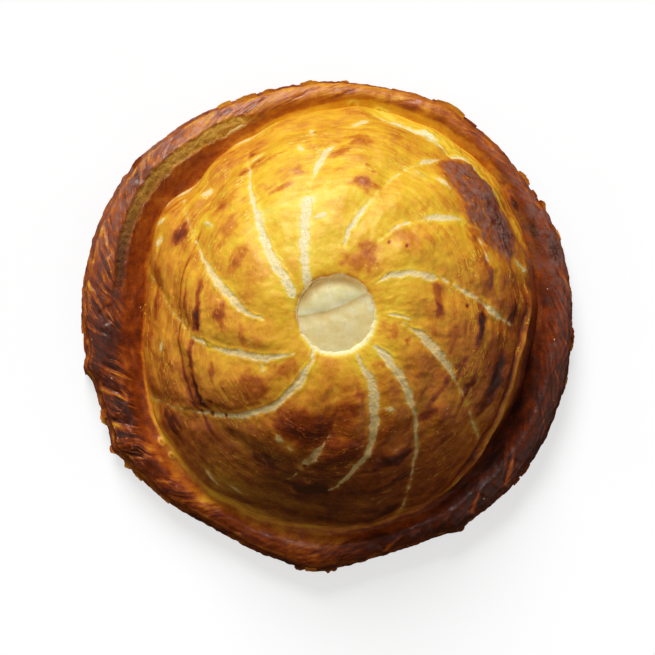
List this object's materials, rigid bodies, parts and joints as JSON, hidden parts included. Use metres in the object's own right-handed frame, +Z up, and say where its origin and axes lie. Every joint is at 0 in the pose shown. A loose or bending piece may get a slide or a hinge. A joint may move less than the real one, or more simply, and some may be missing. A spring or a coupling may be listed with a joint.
{
  "type": "pithivier",
  "caption": "Round domed puff pastry pie, baked golden to dark brown, with a lid scored in a spiral round an open vent that shows potato slices, and a raised, slashed rim.",
  "frame": {"origin": "on the flat underside, under the middle of the footprint", "axes": "+Z up through the dome; +Y to the back, where the rim is narrowest; +X to the right"},
  "size_m": [0.1988, 0.1982, 0.0697],
  "materials": {
    "pastry": "egg-washed puff pastry, glossy, yellow gold on the lid to dark brown on the rim, pale cream crumb in the scores",
    "filling": "soft cooked potato filling, pale cream yellow, moist",
    "potato": "cooked potato slices, pale cream yellow, moist, with a faint brown cut edge"
  },
  "bodies": {
    "root": {"pastry": "pastry", "filling": "filling", "potato_slice_upper": "potato", "potato_slice_lower": "potato"}
  },
  "joints": []
}
